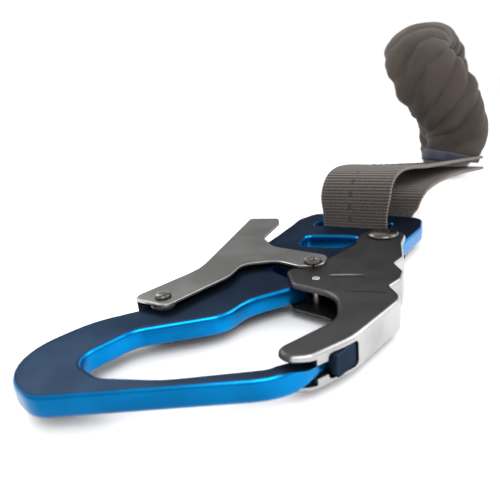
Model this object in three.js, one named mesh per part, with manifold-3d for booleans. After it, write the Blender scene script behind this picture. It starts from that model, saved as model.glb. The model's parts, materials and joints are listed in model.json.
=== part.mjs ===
// Shock absorbing lanyard: a flat double-action scaffold hook, a sewn webbing loop
// through its eye, a gathered tubular jacket over the absorber core, and a harness loop.
// Millimetres, +Z up. The hook lies flat; +X runs from the nose loop to the eye.
import * as THREE from 'three';
import { mergeVertices } from 'three/addons/utils/BufferGeometryUtils.js';
import Module from 'manifold-3d';

const wasm = await Module();
wasm.setup();

// ---------------------------------------------------------------- driving dimensions
const PLATE = 9.5;            // thickness of the forged hook body
const PLATE_EDGE = 2.0;       // rounding of the body's edges
const RUNNING_GAP = 0.4;      // between parts that slide past one another
const SEAT_GAP = 0.3;         // between parts that are fixed together
const GATE_SHEET = 2.4;       // wall of the gate channel
const LEVER_SHEET = 1.6;      // wall of the lever channel
const SMALL_HEAD = 1.8;       // height of the lever rivet's heads
const BIG_HEAD = 2.5;         // height of the gate rivet's heads

const NOSE_BEARING = [19, -12.4];   // flat inner end of the nose loop, the part's origin
const GATE_PIVOT = [195, -34.8];
const LEVER_PIVOT = [67, 6.5];
const LOCK_PIN = [136, -27];
const GATE_PIN = [123.3, -38];
const GATE_TRAVEL = 25;       // degrees, inward
const LEVER_TRAVEL = 8.65;    // degrees, towards the spine

const BAR_SLANT = 13;         // degrees between the eye's end bar and the Y axis
const SLOT_CENTRE = [218, -0.5];
const SLOT_WIDTH = 15;
const SLOT_LENGTH = 50;
const WRAP_BACK = 30;         // from the bar's inner face to the strap's slack outer strand

const WEBBING = 45;           // width of the lanyard webbing
const WEBBING_THICK = 2.4;
const JACKET_WALL = 2.2;
const CORE_WIDTH = 34;
const CORE_THICK = 3;
const HALF_WIDTH = 26;        // of the gathered jacket
const HALF_DEPTH = 13.5;
const TAIL_ANGLE = 17.5;      // degrees from +X to the harness end's heading
const END_LENGTH = 112;       // of the harness loop

const GATE_HALF = PLATE / 2 + RUNNING_GAP + GATE_SHEET;
const GATE_BORE_HALF = PLATE / 2 + RUNNING_GAP;
const LEVER_HALF = GATE_HALF + RUNNING_GAP + LEVER_SHEET;
const LEVER_BORE_HALF = GATE_HALF + RUNNING_GAP;
const LEVER_SEAT = LEVER_BORE_HALF - SEAT_GAP;
const LEVER_SPRING_TOP = LEVER_BORE_HALF - 0.8;
const MID = LEVER_HALF + SEAT_GAP + SMALL_HEAD;   // height of the hook's middle plane

// ---------------------------------------------------------------- materials
const finish = (color, roughness, metalness = 0) => () =>
  new THREE.MeshStandardMaterial({ color, roughness, metalness });
const blueAnodised = finish(0x0a7fd0, 0.3, 0.9);
const satinSteel = finish(0x77787a, 0.35, 1);
const brass = finish(0xb08d4a, 0.4, 1);
const webbingBrown = finish(0x554b44, 0.9);
const jacketBrown = finish(0x4b413a, 0.95);
const threadBlack = finish(0x1d1b1a, 0.8);
const bandBlue = finish(0x28385c, 0.9);
const corePale = finish(0xc9c2ae, 0.9);

// ---------------------------------------------------------------- outline helpers
const degrees = (angle) => (angle * Math.PI) / 180;

// Outline through corners [x, y, radius], each corner rounded by a true arc.
function roundedOutline(corners, stepDegrees = 14) {
  const points = [];
  corners.forEach(([x, y, radius], i) => {
    const before = corners[(i + corners.length - 1) % corners.length];
    const after = corners[(i + 1) % corners.length];
    const corner = new THREE.Vector2(x, y);
    const toBefore = new THREE.Vector2(before[0] - x, before[1] - y).normalize();
    const toAfter = new THREE.Vector2(after[0] - x, after[1] - y).normalize();
    const half = Math.acos(THREE.MathUtils.clamp(toBefore.dot(toAfter), -1, 1)) / 2;
    if (!radius) {
      points.push(corner);
      return;
    }
    const reach = radius / Math.tan(half);
    const start = corner.clone().addScaledVector(toBefore, reach);
    const end = corner.clone().addScaledVector(toAfter, reach);
    const bisector = toBefore.clone().add(toAfter).normalize();
    const centre = corner.clone().addScaledVector(bisector, radius / Math.sin(half));
    const from = Math.atan2(start.y - centre.y, start.x - centre.x);
    let sweep = Math.atan2(end.y - centre.y, end.x - centre.x) - from;
    if (sweep > Math.PI) sweep -= 2 * Math.PI;
    if (sweep < -Math.PI) sweep += 2 * Math.PI;
    const steps = Math.max(1, Math.ceil(Math.abs(sweep) / degrees(stepDegrees)));
    for (let k = 0; k <= steps; k++) {
      const angle = from + (sweep * k) / steps;
      const spoke = new THREE.Vector2(Math.cos(angle), Math.sin(angle));
      points.push(centre.clone().addScaledVector(spoke, radius));
    }
  });
  return points;
}

// Circle as an outline.
function circle([x, y], radius, count = 20) {
  return Array.from({ length: count }, (_, i) => {
    const angle = (2 * Math.PI * i) / count;
    return new THREE.Vector2(x + radius * Math.cos(angle), y + radius * Math.sin(angle));
  });
}

// Shape whose outline runs counter-clockwise, whichever way it was written.
function shapeOf(outline) {
  return new THREE.Shape(THREE.ShapeUtils.isClockWise(outline) ? [...outline].reverse() : outline);
}

// Flat plate from an outline, centred on the middle plane, with rounded edges.
function plate(outline, halfHeight, edge = 0, holes = [], segments = 2) {
  const shape = shapeOf(outline);
  holes.forEach((hole) => shape.holes.push(new THREE.Path(hole)));
  const geometry = new THREE.ExtrudeGeometry(shape, {
    depth: 2 * (halfHeight - edge),
    bevelEnabled: edge > 0,
    bevelThickness: edge,
    bevelSize: edge,
    bevelOffset: -edge,
    bevelSegments: segments,
    steps: 1,
  });
  return geometry.translate(0, 0, MID - halfHeight + edge);
}

// Straight prism between two heights, measured from the middle plane.
function prism(outline, low, high) {
  const geometry = new THREE.ExtrudeGeometry(shapeOf(outline), { depth: high - low, bevelEnabled: false });
  return geometry.translate(0, 0, MID + low);
}

// Side profile in (x, height from the middle plane), carried across from one y to another.
function crosswise(outline, from, to, edge = 0) {
  const geometry = new THREE.ExtrudeGeometry(shapeOf(outline), {
    depth: to - from - 2 * edge,
    bevelEnabled: edge > 0,
    bevelThickness: edge,
    bevelSize: edge,
    bevelOffset: -edge,
    bevelSegments: 1,
  });
  return geometry.rotateX(Math.PI / 2).translate(0, to - edge, MID);
}

// ---------------------------------------------------------------- solid helpers
function toSolid(geometry) {
  const bare = geometry.clone();
  bare.deleteAttribute('normal');
  bare.deleteAttribute('uv');
  const merged = mergeVertices(bare, 1e-4);
  const corners = merged.index.array;
  const triangles = [];
  for (let i = 0; i < corners.length; i += 3) {
    const [a, b, c] = [corners[i], corners[i + 1], corners[i + 2]];
    if (a !== b && b !== c && c !== a) triangles.push(a, b, c);
  }
  return new wasm.Manifold(new wasm.Mesh({
    numProp: 3,
    vertProperties: new Float32Array(merged.attributes.position.array),
    triVerts: new Uint32Array(triangles),
  }));
}

function toGeometry(solid) {
  const mesh = solid.getMesh();
  const geometry = new THREE.BufferGeometry();
  geometry.setAttribute('position', new THREE.BufferAttribute(new Float32Array(mesh.vertProperties), 3));
  geometry.setIndex(new THREE.BufferAttribute(new Uint32Array(mesh.triVerts), 1));
  return geometry;
}

function cut(geometry, ...tools) {
  return toGeometry(tools.reduce((solid, tool) => solid.subtract(toSolid(tool)), toSolid(geometry)));
}

function join(geometry, ...others) {
  return toGeometry(others.reduce((solid, other) => solid.add(toSolid(other)), toSolid(geometry)));
}

// Turned part about a vertical axis; the profile lists [radius, height above the middle plane].
function turned([x, y], profile, count = 20) {
  const points = profile.map(([radius, height]) => new THREE.Vector2(radius, height));
  const geometry = new THREE.LatheGeometry(points, count);
  return geometry.rotateX(Math.PI / 2).translate(x, y, MID);
}

// Tube about a vertical axis: a closed rectangular profile turned round it.
function sleeve(centre, inner, outer, low, high, count = 20) {
  return turned(centre, [[inner, low], [outer, low], [outer, high], [inner, high], [inner, low]], count);
}

// Skin over a row of equal rings; a tube joins its last ring to its first, a bar caps both ends.
function loft(rings, closedTube = false) {
  const size = rings[0].length;
  const positions = rings.flat().flatMap((point) => [point.x, point.y, point.z]);
  const triangles = [];
  const spans = closedTube ? rings.length : rings.length - 1;
  for (let i = 0; i < spans; i++) {
    const here = i * size;
    const next = ((i + 1) % rings.length) * size;
    for (let k = 0; k < size; k++) {
      const l = (k + 1) % size;
      triangles.push(here + k, here + l, next + l, here + k, next + l, next + k);
    }
  }
  if (!closedTube) {
    const last = (rings.length - 1) * size;
    for (let k = 1; k < size - 1; k++) {
      triangles.push(0, k + 1, k, last, last + k, last + k + 1);
    }
  }
  const geometry = new THREE.BufferGeometry();
  geometry.setAttribute('position', new THREE.Float32BufferAttribute(positions, 3));
  geometry.setIndex(triangles);
  return geometry;
}

// Flat strap swept along centre points, its width always along one level direction.
function strap(points, across, width, thickness) {
  const rings = points.map((point, i) => {
    const before = points[Math.max(i - 1, 0)];
    const after = points[Math.min(i + 1, points.length - 1)];
    const along = after.clone().sub(before).normalize();
    const side = across.clone().normalize();
    const up = side.clone().cross(along).normalize();
    const corner = (s, u) => point.clone()
      .addScaledVector(side, (s * width) / 2)
      .addScaledVector(up, (u * thickness) / 2);
    return [corner(-1, 1), corner(1, 1), corner(1, -1), corner(-1, -1)];
  });
  return loft(rings);
}

// Flattened tube along a curve: elliptical outside, elliptical bore, open at both ends.
function jacketTube(curve, from, to, across, halfWidth, halfDepth, stations = 10, sides = 16) {
  const outer = [];
  const inner = [];
  for (let i = 0; i <= stations; i++) {
    const at = from + ((to - from) * i) / stations;
    const centre = curve.getPoint(at);
    const along = curve.getTangent(at);
    const depth = along.clone().cross(across).normalize();
    const side = depth.clone().cross(along).normalize();
    const ring = (shrink) => Array.from({ length: sides }, (_, k) => {
      const angle = (2 * Math.PI * k) / sides;
      return centre.clone()
        .addScaledVector(side, (halfWidth - shrink) * Math.cos(angle))
        .addScaledVector(depth, (halfDepth - shrink) * Math.sin(angle));
    });
    outer.push(ring(0));
    inner.push(ring(JACKET_WALL));
  }
  return loft([...outer, ...inner.reverse()], true);
}

// Round wire along a curve.
function wire(curve, radius, steps, sides = 5) {
  const shape = new THREE.Shape(circle([0, 0], radius, sides));
  return new THREE.ExtrudeGeometry(shape, { steps, extrudePath: curve, bevelEnabled: false });
}

class CoilCurve extends THREE.Curve {
  constructor([x, y], radius, turns, low, high) {
    super();
    Object.assign(this, { x, y, radius, turns, low, high });
  }

  getPoint(t, target = new THREE.Vector3()) {
    const angle = 2 * Math.PI * this.turns * t;
    return target.set(
      this.x + this.radius * Math.cos(angle),
      this.y + this.radius * Math.sin(angle),
      MID + this.low + (this.high - this.low) * t,
    );
  }
}

// ---------------------------------------------------------------- hook body
// Nose loop, spine, arm and eye plate are one forging. The arm tapers to a thin neck
// that carries a full-height T-head, and the gate closes over that head.
const SLOT_AXIS = new THREE.Vector2(Math.sin(degrees(BAR_SLANT)), -Math.cos(degrees(BAR_SLANT)));
const BAR_NORMAL = new THREE.Vector2(Math.cos(degrees(BAR_SLANT)), Math.sin(degrees(BAR_SLANT)));

// Extent of the T-head at the arm's end.
const HEAD_START = 75.4;
const HEAD_END = 87.8;
const HEAD_OUTER_Y = -80.4;
const HEAD_INNER_Y = -66.5;

function bodyOutline() {
  return roundedOutline([
    [-2, 24.5, 25], [40, 24, 38], [66, 11, 30], [104, 11, 60], [199, 36.8, 30],
    [213, 41.5, 18], [233, 39.8, 10], [250, -35, 10], [229, -43.5, 16], [187.5, -48, 5],
    [181, -35.5, 6], [124, -35.5, 2.4], [119.5, -33.6, 3], [92, -21.5, 24], [77, -24.5, 16],
    [45.5, -0.3, 14], [NOSE_BEARING[0], -0.3, 9], [NOSE_BEARING[0], -19, 12], [32, -39.5, 40],
    [57.5, -65.2, 9], [81, -69.6, 2.5], [81, -75.4, 2.5], [57.3, -75.6, 30], [-2, -10.5, 13],
  ], 11);
}

function webbingSlot() {
  const corner = (s, n) => [
    SLOT_CENTRE[0] + (s * SLOT_AXIS.x * SLOT_LENGTH) / 2 + (n * BAR_NORMAL.x * SLOT_WIDTH) / 2,
    SLOT_CENTRE[1] + (s * SLOT_AXIS.y * SLOT_LENGTH) / 2 + (n * BAR_NORMAL.y * SLOT_WIDTH) / 2,
    3.4,
  ];
  return roundedOutline([corner(-1, -1), corner(-1, 1), corner(1, 1), corner(1, -1)], 22);
}

function rescueHole() {
  return roundedOutline([
    [165.5, 4.5, 5.5], [184, 12.8, 4], [193.5, -9, 12], [195, -20, 4.5], [173, -21.5, 9],
  ], 18);
}

// Curved slot in which the gate's cross pin travels, open at the inner edge of the spine.
function gatePinSlot() {
  const dx = GATE_PIN[0] - GATE_PIVOT[0];
  const dy = GATE_PIN[1] - GATE_PIVOT[1];
  const radius = Math.hypot(dx, dy);
  const halfWidth = 2.9;
  const rest = Math.atan2(dy, dx);
  const first = rest + degrees(8);
  const last = rest - degrees(GATE_TRAVEL + 0.5);
  const shape = new THREE.Path();
  shape.absarc(...GATE_PIVOT, radius + halfWidth, first, last, true);
  const endX = GATE_PIVOT[0] + radius * Math.cos(last);
  const endY = GATE_PIVOT[1] + radius * Math.sin(last);
  shape.absarc(endX, endY, halfWidth, last, last - Math.PI, true);
  shape.absarc(...GATE_PIVOT, radius - halfWidth, last, first, false);
  return shape.getPoints(14);
}

// Slab seen from the side, with rounded corners.
const slabOutline = (from, to, half, radius) => roundedOutline(
  [[from, half, radius], [to, half, radius], [to, -half, radius], [from, -half, radius]], 30);

// Space above the arm's end: the forging eases down from its full height to the thin neck.
function neckRelief(side) {
  const [full, thin] = [55, 70];
  const neckHalf = 1.8;
  const ramp = Array.from({ length: 9 }, (_, i) => {
    const x = full + ((thin - full) * i) / 8;
    const ease = THREE.MathUtils.smoothstep(x, full, thin);
    return new THREE.Vector2(x, side * THREE.MathUtils.lerp(PLATE / 2 + 0.05, neckHalf, ease));
  });
  const outline = [...ramp, new THREE.Vector2(83, side * neckHalf), new THREE.Vector2(83, side * PLATE),
    new THREE.Vector2(full, side * PLATE)];
  return crosswise(outline, -85, -57);
}

// T-shaped end of the arm; its inner side slants so that the gate's window swings clear of it.
function armHead() {
  const block = crosswise(slabOutline(HEAD_START, HEAD_END, PLATE / 2, 2), HEAD_OUTER_Y, HEAD_INNER_Y, 0.6);
  const lean = 5.2;
  const beyond = HEAD_END + 5;
  const slant = [[HEAD_END, HEAD_OUTER_Y], [HEAD_END - lean, HEAD_INNER_Y + 0.1],
    [beyond, HEAD_INNER_Y + 0.1], [beyond, HEAD_OUTER_Y]].map(([x, y]) => new THREE.Vector2(x, y));
  return cut(block, prism(slant, -PLATE, PLATE));
}

function hookBody() {
  const forging = plate(bodyOutline(), PLATE / 2, PLATE_EDGE, [webbingSlot(), rescueHole()]);
  const eased = cut(forging, neckRelief(1), neckRelief(-1));
  return cut(
    join(eased, armHead()),
    prism(gatePinSlot(), -PLATE, PLATE),
    prism(circle(GATE_PIVOT, 6.8), -PLATE, PLATE),
    prism(circle(GATE_PIVOT, 10.6, 24), 0.6, PLATE),
    prism(circle(LEVER_PIVOT, 4.9), -PLATE, PLATE),
  );
}

// ---------------------------------------------------------------- gate
const WEB_OUTER_Y = -80.8;

function gateOutline() {
  return roundedOutline([
    [61.8, -69, 4.5], [64, -61.8, 4.5], [95, -67.8, 16], [113, -56, 14], [112, -32, 5], [124.5, -18.5, 5],
    [146, -27.5, 8], [176, -28, 12], [190, -21, 10], [209, -24, 11], [206.5, -44, 11], [188, -50, 6],
    [168.5, -60.2, 5], [158.2, -60.6, 2], [151, -68.6, 8], [142.5, -71.6, 9], [132.6, -71, 1.6],
    [124.5, WEB_OUTER_Y, 11], [86, WEB_OUTER_Y, 26], [67.8, -75.8, 8],
  ]);
}

// Space between the cheeks: the web stays only along the outer edge.
function gateCavity() {
  const inner = WEB_OUTER_Y + GATE_SHEET;
  return [
    [50, -90], [69.5, -90], [69.5, -74.2], [86, inner], [122, inner], [129.4, -68.6], [141.8, -69.1],
    [149.2, -66.4], [156.9, -57.7], [166, -56], [185.5, -48.3], [185.5, -90], [230, -90], [230, 10], [50, 10],
  ].map(([x, y]) => new THREE.Vector2(x, y));
}

// Path of the lock pin seen from the gate while gate and lever turn together.
function lockSlot(halfWidth) {
  const stations = 10;
  const path = Array.from({ length: stations + 1 }, (_, i) => {
    const share = i / stations;
    const pin = new THREE.Vector2(...LOCK_PIN)
      .rotateAround(new THREE.Vector2(...LEVER_PIVOT), -degrees(LEVER_TRAVEL) * share);
    return pin.rotateAround(new THREE.Vector2(...GATE_PIVOT), degrees(GATE_TRAVEL) * share);
  });
  const sideways = path.map((_, i) => {
    const along = path[Math.min(i + 1, stations)].clone().sub(path[Math.max(i - 1, 0)]).normalize();
    return new THREE.Vector2(-along.y, along.x);
  });
  const edge = (sign) => path.map((point, i) => point.clone().addScaledVector(sideways[i], sign * halfWidth));
  const cap = (i, sign) => [-60, -30, 0, 30, 60].map((angle) => {
    const along = new THREE.Vector2(sideways[i].y, -sideways[i].x).multiplyScalar(sign * halfWidth);
    return path[i].clone().add(along.rotateAround(new THREE.Vector2(), degrees(angle)));
  });
  return [...edge(1), ...cap(stations, 1).reverse(), ...edge(-1).reverse(), ...cap(0, -1).reverse()];
}

function slimBox(from, to, width, low, high) {
  const along = new THREE.Vector2(to[0] - from[0], to[1] - from[1]);
  const geometry = new THREE.BoxGeometry(along.length(), width, high - low);
  return geometry.rotateZ(along.angle())
    .translate((from[0] + to[0]) / 2, (from[1] + to[1]) / 2, MID + (low + high) / 2);
}

function gateChannel() {
  const blank = plate(gateOutline(), GATE_HALF, 1.9, [], 3);
  const windowAndSlot = [
    crosswise(slabOutline(HEAD_START - 1.3, HEAD_END + 1, GATE_BORE_HALF, 2), -83, -73),
    crosswise(slabOutline(58, HEAD_START, 2.7, 0.8), -83, -71),
  ];
  const topGrooves = [
    slimBox([127.5, -42], [135.5, -57], 1.1, GATE_HALF - 0.5, GATE_HALF + 1),
    slimBox([117, -57], [124.5, -72.5], 1.1, GATE_HALF - 0.5, GATE_HALF + 1),
  ];
  return cut(
    blank,
    prism(gateCavity(), -GATE_BORE_HALF, GATE_BORE_HALF),
    ...windowAndSlot,
    ...topGrooves,
    prism(circle(GATE_PIVOT, 4.9), -PLATE, PLATE),
    prism(circle(GATE_PIN, 2.3, 16), -PLATE, PLATE),
    prism(lockSlot(2.7), -PLATE, -PLATE / 2),
  );
}

// ---------------------------------------------------------------- lever
function leverOutline() {
  return roundedOutline([
    [58.5, 19.5, 4], [100, 19.5, 30], [187, 64.5, 3], [195.5, 44.5, 3], [186, 36.5, 3], [157, 25, 8],
    [146, 8, 18], [148, -28, 4], [137, -33, 4], [129, -24, 6], [129.5, -8, 11], [117, 4.5, 8],
    [102, -1.3, 20], [62, -1.3, 4.5],
  ]);
}

function leverChannel() {
  const blank = plate(leverOutline(), LEVER_HALF, 0.7, [], 1);
  const cavity = [[40, 17.9], [100.4, 17.9], [240, 90.1], [240, -60], [40, -60]]
    .map(([x, y]) => new THREE.Vector2(x, y));
  return cut(
    blank,
    prism(cavity, -LEVER_BORE_HALF, LEVER_BORE_HALF),
    prism(circle(LEVER_PIVOT, 3.1), -LEVER_HALF - 1, LEVER_HALF + 1),
    prism(circle(LOCK_PIN, 2.5), -LEVER_HALF - 1, -LEVER_BORE_HALF + 1),
    prism(circle(LOCK_PIN, 3.3), LEVER_BORE_HALF - 1, LEVER_HALF + 1),
  );
}

// ---------------------------------------------------------------- pins, bushes and springs
// Two-headed rivet: domed heads rest just outside the given half height.
function rivet(centre, shank, headRadius, headHeight, half) {
  const seat = half + SEAT_GAP;
  const dome = [[1, 0], [1, 0.45], [0.82, 0.8], [0.45, 1]];
  const top = dome.map(([r, h]) => [headRadius * r, seat + headHeight * h]);
  const profile = [[0, -seat - headHeight], ...[...top].reverse().map(([r, h]) => [r, -h]),
    [shank, -seat], [shank, seat], ...top, [0, seat + headHeight]];
  return turned(centre, profile);
}

function lockPin() {
  const foot = -LEVER_HALF - SEAT_GAP;
  return turned(LOCK_PIN, [[0, foot - 1], [3.2, foot - 1], [3.8, foot - 0.4], [3.8, foot], [2.2, foot],
    [2.2, -PLATE / 2 - 0.25], [0, -PLATE / 2 - 0.25]]);
}

// Plain pin across the gate's cheeks, flush with both.
function crossPin() {
  return turned(GATE_PIN, [[0, -GATE_HALF], [2, -GATE_HALF], [2, GATE_HALF], [0, GATE_HALF]], 16);
}

// Flared tubular rivet in the lever's upper cheek, with an open bore.
function armRivet() {
  const foot = LEVER_BORE_HALF + 0.05;
  const seat = LEVER_HALF + SEAT_GAP;
  return turned(LOCK_PIN, [[1.5, foot], [3, foot], [3, seat], [4.6, seat], [4.4, seat + 0.9],
    [3.2, seat + 1.4], [2, seat + 0.9], [1.5, seat], [1.5, foot]]);
}

const coil = (centre, radius, wireRadius, turns, low, high) => wire(
  new CoilCurve(centre, radius, turns, low, high), wireRadius, Math.round(turns * 12));

// ---------------------------------------------------------------- webbing loop on the hook
const BAR_FACE = new THREE.Vector2(...SLOT_CENTRE).addScaledVector(BAR_NORMAL, SLOT_WIDTH / 2);
const BAR_ACROSS = new THREE.Vector3(SLOT_AXIS.x, SLOT_AXIS.y, 0);
const STRAND = RUNNING_GAP + WEBBING_THICK / 2;

// Point at a distance out from the bar's inner face, at a height.
const atBar = (out, z, drift = 0) => new THREE.Vector3(
  BAR_FACE.x + BAR_NORMAL.x * out,
  BAR_FACE.y + BAR_NORMAL.y * out + drift,
  z,
);

// Quarter turn between two directions at the bar, as a few arc points.
function quarter(out, z, radius, fromDegrees, toDegrees, steps = 4) {
  return Array.from({ length: steps + 1 }, (_, i) => {
    const angle = degrees(fromDegrees + ((toDegrees - fromDegrees) * i) / steps);
    return atBar(out + radius * Math.cos(angle), z + radius * Math.sin(angle));
  });
}

function eyeWrap() {
  const wrapTop = MID + PLATE / 2 + 2.6;
  const low = MID - PLATE / 2 - STRAND;
  const innerTurn = 2.8;
  const outerTurn = 7;
  const points = [
    atBar(-STRAND, wrapTop),
    ...quarter(-STRAND + innerTurn, low + innerTurn, innerTurn, 180, 270),
    ...quarter(WRAP_BACK - outerTurn, low + outerTurn, outerTurn, 270, 360),
    atBar(WRAP_BACK, wrapTop),
  ];
  return strap(points, BAR_ACROSS, WEBBING, WEBBING_THICK);
}

// Both strands rise from the bar, bend back and lie one over the other as far as the jacket.
const RUN_END = new THREE.Vector3(333, -19.5, MID + PLATE / 2 + 20.6);
const LOOP_START = MID + PLATE / 2 + 10.6;
const LAYER = WEBBING_THICK / 2 + 0.2;

const FRONT_STRAND = new THREE.CatmullRomCurve3([
  atBar(-STRAND, LOOP_START), atBar(-STRAND, 37), atBar(1, 45.2, -0.5), atBar(8.5, 49.2, -2.4),
  atBar(24, 48.8, -7.5), atBar(50, 46.2, -17.5), atBar(82, 42, -30),
  RUN_END.clone().add(new THREE.Vector3(0, 0, LAYER)),
]);
const BACK_STRAND = new THREE.CatmullRomCurve3([
  RUN_END.clone().add(new THREE.Vector3(0, 0, -LAYER)), atBar(84, 35, -31), atBar(60, 34.4, -21.5),
  atBar(46, 34, -15), atBar(37, 32.6, -8.5), atBar(WRAP_BACK + 2, 30.4, -3), atBar(WRAP_BACK, LOOP_START),
]);

function loopWebbing() {
  const tip = RUN_END.clone().add(new THREE.Vector3(1.6, -0.3, 0));
  return strap([...FRONT_STRAND.getPoints(22), tip, ...BACK_STRAND.getPoints(20)],
    BAR_ACROSS, WEBBING, WEBBING_THICK);
}

// Lock stitching on a sewn stretch: rows across it, joined by a line of stitches at each side.
function stitchPanel(curve, from, to, rows, across, width) {
  const half = 0.006;   // half the length of a row, as a share of the curve
  const onTop = (at) => {
    const up = across.clone().cross(curve.getTangent(at)).normalize();
    return curve.getPoint(at).addScaledVector(up, Math.sign(up.z) * (WEBBING_THICK / 2 + 0.7));
  };
  const crossRows = Array.from({ length: rows }, (_, i) => {
    const at = from + ((to - from) * i) / (rows - 1);
    return strap([onTop(at - half), onTop(at + half)], across, width, 0.6);
  });
  const sides = [-1, 1].map((side) => {
    const shift = across.clone().normalize().multiplyScalar((side * width) / 2);
    const stations = Array.from({ length: rows }, (_, i) =>
      from - half + ((to - from + 2 * half) * i) / (rows - 1));
    return strap(stations.map((at) => onTop(at).add(shift)), across, 1.2, 0.6);
  });
  return join(...crossRows, ...sides);
}

// ---------------------------------------------------------------- jacket and core
const LANYARD = new THREE.CatmullRomCurve3([
  [333, -19.5, 44], [337, -22, 62], [334.5, -21.5, 84], [325.5, -5.5, 104], [331, 7, 122.5], [357, 15, 132],
  [391, 18, 123], [411, 19, 94], [424, 20, 62], [441, 25, 34], [468, 33, 19],
  [505, 44.5, 16.3], [540, 55.5, 16.3],
].map(([x, y, z]) => new THREE.Vector3(x, y, z)), false, 'centripetal');
const LANYARD_ACROSS = new THREE.Vector3(0.3, -0.954, 0);
const TAIL_DIRECTION = new THREE.Vector3(Math.cos(degrees(TAIL_ANGLE)), Math.sin(degrees(TAIL_ANGLE)), 0);

const SEGMENTS = {
  lower: [0, 0.285],
  arch: [0.335, 0.84],
  tail: [0.855, 1],
};

const jacketPart = ([from, to], stations) =>
  jacketTube(LANYARD, from, to, LANYARD_ACROSS, HALF_WIDTH, HALF_DEPTH, stations);

function corePart([from, to], stations) {
  const points = Array.from({ length: stations + 1 }, (_, i) =>
    LANYARD.getPoint(from + ((to - from) * i) / stations));
  return strap(points, LANYARD_ACROSS, CORE_WIDTH, CORE_THICK);
}

// Thin coloured band sewn round the jacket at a place along the lanyard.
function jacketBand(from, to) {
  return jacketTube(LANYARD, from, to, LANYARD_ACROSS, HALF_WIDTH + JACKET_WALL + 0.4,
    HALF_DEPTH + JACKET_WALL + 0.4, 2, 24);
}

// ---------------------------------------------------------------- harness end loop
// Teardrop of the same webbing: two sewn layers, then the open loop, lying on its side strand.
const LOOP_ROOT = new THREE.Vector3(552, 59.3, 16.3);
const END_ACROSS = new THREE.Vector3(TAIL_DIRECTION.y, -TAIL_DIRECTION.x, 0);

const onTail = (along, z) => LOOP_ROOT.clone().addScaledVector(TAIL_DIRECTION, along).setZ(z);
const UPPER_STRAND = new THREE.CatmullRomCurve3([
  onTail(0, LOOP_ROOT.z + LAYER), onTail(26, LOOP_ROOT.z + LAYER), onTail(44, 22.5), onTail(70, 31.5),
  onTail(94, 31), onTail(108, 23),
]);
const LOWER_STRAND = new THREE.CatmullRomCurve3([
  onTail(108, 10), onTail(94, 2.6), onTail(70, 1.9), onTail(44, 8.5), onTail(26, LOOP_ROOT.z - LAYER),
  onTail(0, LOOP_ROOT.z - LAYER),
]);

function endLoop() {
  const face = [onTail(END_LENGTH, 20), onTail(END_LENGTH, 13)];
  return strap([...UPPER_STRAND.getPoints(16), ...face, ...LOWER_STRAND.getPoints(16)],
    END_ACROSS, WEBBING, WEBBING_THICK);
}

// ---------------------------------------------------------------- assembly
function piece(name, geometry, material) {
  const mesh = new THREE.Mesh(geometry, material);
  mesh.name = name;
  return mesh;
}

// Everything above is drawn in the hook's own plan; this group brings the nose bearing to the origin.
const plan = new THREE.Group();
plan.position.set(-NOSE_BEARING[0], -NOSE_BEARING[1], -MID);
plan.add(
  piece('hook_body', hookBody(), blueAnodised()),
  piece('gate_channel', gateChannel(), satinSteel()),
  piece('gate_pivot_rivet', rivet(GATE_PIVOT, 4.6, 8.6, BIG_HEAD, GATE_HALF), satinSteel()),
  piece('gate_bush', sleeve(GATE_PIVOT, 4.9, 6.5, -GATE_BORE_HALF + 0.1, GATE_BORE_HALF - 0.1), brass()),
  piece('gate_spring', coil(GATE_PIVOT, 8.5, 0.7, 2.2, 1.5, 4), satinSteel()),
  piece('gate_cross_pin', crossPin(), satinSteel()),
  piece('lever_channel', leverChannel(), satinSteel()),
  piece('lever_pivot_rivet', rivet(LEVER_PIVOT, 2.8, 3.8, SMALL_HEAD, LEVER_HALF), satinSteel()),
  piece('lever_bush', sleeve(LEVER_PIVOT, 3.1, 4.6, -LEVER_SEAT, LEVER_SEAT), brass()),
  piece('lever_spring', coil(LEVER_PIVOT, 5.7, 0.5, 2.2, PLATE / 2 + 0.9, LEVER_SPRING_TOP), satinSteel()),
  piece('lever_spacer', sleeve(LEVER_PIVOT, 4.9, 6.3, -LEVER_SEAT, -PLATE / 2 - SEAT_GAP), satinSteel()),
  piece('lock_pin', lockPin(), satinSteel()),
  piece('lever_arm_rivet', armRivet(), satinSteel()),
  piece('eye_wrap_webbing', eyeWrap(), webbingBrown()),
  piece('hook_loop_webbing', loopWebbing(), webbingBrown()),
  piece('hook_loop_stitching', stitchPanel(FRONT_STRAND, 0.6, 0.86, 5, BAR_ACROSS, 34), threadBlack()),
  piece('jacket_lower', jacketPart(SEGMENTS.lower, 8), jacketBrown()),
  piece('jacket_arch', jacketPart(SEGMENTS.arch, 16), jacketBrown()),
  piece('jacket_tail', jacketPart(SEGMENTS.tail, 4), jacketBrown()),
  piece('core_lower', corePart(SEGMENTS.lower, 6), corePale()),
  piece('core_arch', corePart(SEGMENTS.arch, 14), corePale()),
  piece('core_tail', corePart(SEGMENTS.tail, 4), corePale()),
  piece('mouth_band', jacketBand(0.012, 0.04), bandBlue()),
  piece('end_band', jacketBand(0.96, 0.99), bandBlue()),
  piece('end_loop_webbing', endLoop(), webbingBrown()),
  piece('end_loop_stitching', stitchPanel(UPPER_STRAND, 0.05, 0.22, 4, END_ACROSS, 34), threadBlack()),
);

const group = new THREE.Group();
group.add(plan);

export default group;
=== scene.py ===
"""Looks of the shock absorbing lanyard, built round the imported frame.

Lengths are in metres. Control points of curves are written in millimetres and scaled by MM."""

import json
import math

import bmesh
import bpy
import numpy as np
from mathutils import Matrix, Vector, noise


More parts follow.
